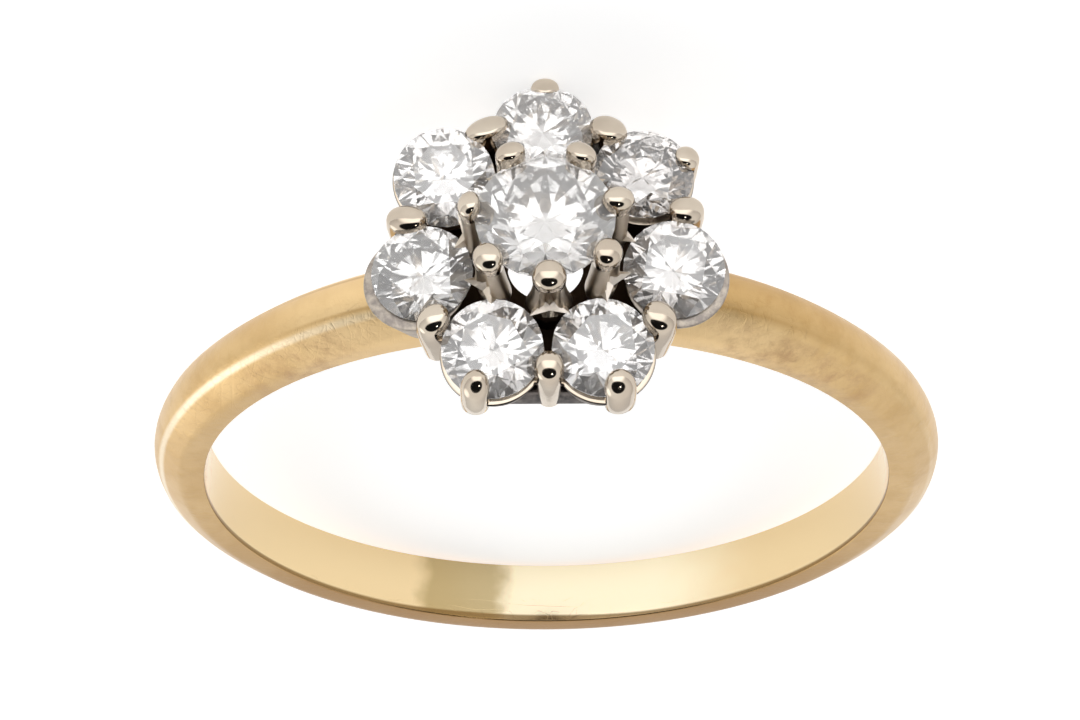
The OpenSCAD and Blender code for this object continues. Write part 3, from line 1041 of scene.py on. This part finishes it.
def polishedGold(look):
    made, tree, shader = newFinish("polished_gold")
    place = useGroup(tree, ringPlace)
    where = objectPlace(tree)
    # Painted reflections inside the band: a cream highlight and a khaki patch of dark reflection, at fixed
    # places round the band
    wavy = plus(tree, place["Around"], times(tree, noise(tree, where, 900, 3), 7.0))
    paintedDarkReflection = times(tree, patch(tree, wavy, *look["darkReflectionPlace"]), 0.75)
    cream = times(tree, patch(tree, wavy, *look["paintedHighlightPlace"]), 0.9)
    # Painted shade: a dark line at the front edge, widest beneath the khaki patch
    lift = times(tree, patch(tree, place["Around"], *look["edgeLift"]), 0.065)
    paintedEdgeShade = times(tree, fade(tree, minus(tree, place["Side"], lift), -0.66, -0.73), 0.88)
    colour = blend(tree, cream, look["gold"], look["cream"])
    colour = blend(tree, paintedDarkReflection, colour, look["paintedDarkReflection"])
    colour = blend(tree, paintedEdgeShade, colour, look["edge"])
    tree.links.new(colour, shader.inputs["Base Color"])
    lines = useGroup(tree, hairScratches, Density=1800.0, Width=0.01)["Lines"]
    tree.links.new(plus(tree, times(tree, lines, 0.08), look["roughness"]), shader.inputs["Roughness"])
    wave = noise(tree, where, 260, 2)
    bump(tree, minus(tree, times(tree, wave, 6.0), times(tree, lines, 0.35)), look["bump"], shader)
    return made


whiteGoldLook = {
    "gold": (0.53, 0.45, 0.36),
    "cream": (0.62, 0.54, 0.44),
    # A painted shade colour, for the recesses
    "recessShadeColour": (0.05, 0.03, 0.018),
    "roughness": 0.1,
    "filedTop": (12.5, 12.62),      # heights between which the inner claws' shafts turn dull
    "filedReach": (2.3, 2.5),
    "bump": 0.000002,
}


def polishedWhiteGold(look):
    made, tree, shader = newFinish("white_gold")
    place = useGroup(tree, ringPlace)
    cloud = fade(tree, noise(tree, objectPlace(tree), 900, 3), 0.35, 0.65)
    # Painted shade darkens the recesses; the same mask makes them rougher
    recessShadeAmount = useGroup(tree, paintedRecessShade, Height=place["Height"], Reach=place["Reach"])["Film"]
    colour = blend(tree, recessShadeAmount, blend(tree, cloud, look["gold"], look["cream"]), look["recessShadeColour"])
    tree.links.new(colour, shader.inputs["Base Color"])
    lines = useGroup(tree, hairScratches, Density=3000.0, Width=0.008)["Lines"]
    rough = plus(tree, times(tree, lines, 0.05), times(tree, recessShadeAmount, 0.35))
    # The inner claws' filed shafts are duller than their heads
    shaft = times(tree, fade(tree, place["Height"], *look["filedTop"], 1.0, 0.0),
                  fade(tree, place["Reach"], *look["filedReach"], 1.0, 0.0))
    rough = plus(tree, rough, times(tree, shaft, 0.22))
    tree.links.new(plus(tree, rough, look["roughness"]), shader.inputs["Roughness"])
    bump(tree, cloud, look["bump"], shader)
    return made


leafLook = {
    "low": (0.62, 0.54, 0.44),
    "high": (0.95, 0.86, 0.76),
    "roughness": 0.34,
    "bump": 0.000002,
}


def filedLeafGold(look):
    # Pale and dull, as filed metal is before it is polished
    made, tree, shader = newFinish("filed_leaf_gold")
    cloud = fade(tree, noise(tree, objectPlace(tree), 1600, 3), 0.35, 0.65)
    tree.links.new(blend(tree, cloud, look["low"], look["high"]), shader.inputs["Base Color"])
    lines = useGroup(tree, hairScratches, Density=3000.0, Width=0.02)["Lines"]
    tree.links.new(plus(tree, times(tree, lines, 0.1), look["roughness"]), shader.inputs["Roughness"])
    bump(tree, lines, look["bump"], shader)
    return made


# Two copies of the same cast skin: the dark one is painted shade, for the walls beneath the rims and the bar
# behind the front claw; the pale one is the lit copy, on the cups that meet the shoulders
castLook = {
    "dark": ((0.04, 0.034, 0.032), (0.18, 0.155, 0.14)),    # its hollows, its high spots
    "pale": ((0.25, 0.22, 0.20), (0.50, 0.44, 0.37)),
    "roughness": 0.3,
    "bump": 0.000006,
}


def castSkin(shade, look):
    made, tree, shader = newFinish(f"{shade}_cast_gold")
    grain = noise(tree, objectPlace(tree), 4200, 5, 0.65)
    tree.links.new(blend(tree, fade(tree, grain, 0.35, 0.7), *look[shade]), shader.inputs["Base Color"])
    tree.links.new(plus(tree, times(tree, grain, 0.2), look["roughness"]), shader.inputs["Roughness"])
    bump(tree, grain, look["bump"], shader)
    return made


# Columns: how clear the stone is, its colour and that of its mist. Stones without a row of
# their own are like outer_stone_1.
stoneLooks = {
    "centre_stone": (0.86, (1.0, 0.99, 0.98), (0.96, 0.93, 0.90)),
    "outer_stone_1": (0.87, (1.0, 0.985, 0.975), (0.91, 0.87, 0.835)),
    "outer_stone_3": (0.87, (1.0, 0.99, 0.98), (0.96, 0.93, 0.90)),
    "outer_stone_6": (0.87, (0.92, 0.90, 0.885), (0.84, 0.80, 0.77)),
    "outer_stone_7": (0.93, (0.84, 0.81, 0.79), (0.72, 0.685, 0.66)),
}


def clearGem(name, clearness, pure, misty):
    made, tree, shader = newFinish(name, metallic=0.0)
    mist = fade(tree, noise(tree, objectPlace(tree), 900, 1), 0.4, 0.65)
    tree.links.new(blend(tree, mist, pure, misty), shader.inputs["Base Color"])
    shader.inputs["Transmission Weight"].default_value = clearness
    shader.inputs["IOR"].default_value = 2.42
    shader.inputs["Roughness"].default_value = 0.0
    return made


whiteGold = polishedWhiteGold(whiteGoldLook)
leafGold = filedLeafGold(leafLook)
shadedCast = castSkin("dark", castLook)
paleCast = castSkin("pale", castLook)
for piece in claws + [gallery, collar]:
    piece.data.materials.append(whiteGold)
for piece in wings:
    piece.data.materials.append(leafGold)
# The dark cast skin is painted shade
frontBar.data.materials.append(shadedCast)
for i, cup in enumerate(cups):
    cup.data.materials[0] = whiteGold
    cup.data.materials[1] = paleCast if i in shoulderStones else shadedCast
shank.data.materials.append(satinGold(satinLook))
shank.data.materials.append(polishedGold(polishedLook))


def insideBand(face):
    away = face.calc_center_median() - ringCentre
    return (away - toFront * away.dot(toFront)).length < (holeRadius + nearBy * 2) * millimetre


only(shank)
bpy.ops.object.mode_set(mode="EDIT")
pick("FACE", insideBand)
shank.active_material_index = 1
bpy.ops.object.material_slot_assign()
bpy.ops.object.mode_set(mode="OBJECT")
gems = {name: clearGem(f"{name}_gem", *look) for name, look in stoneLooks.items()}
for name, node in nodes.items():
    if "stone" in name:
        node.data.materials.clear()
        node.data.materials.append(gems.get(name, gems["outer_stone_1"]))
print("finishes laid on")
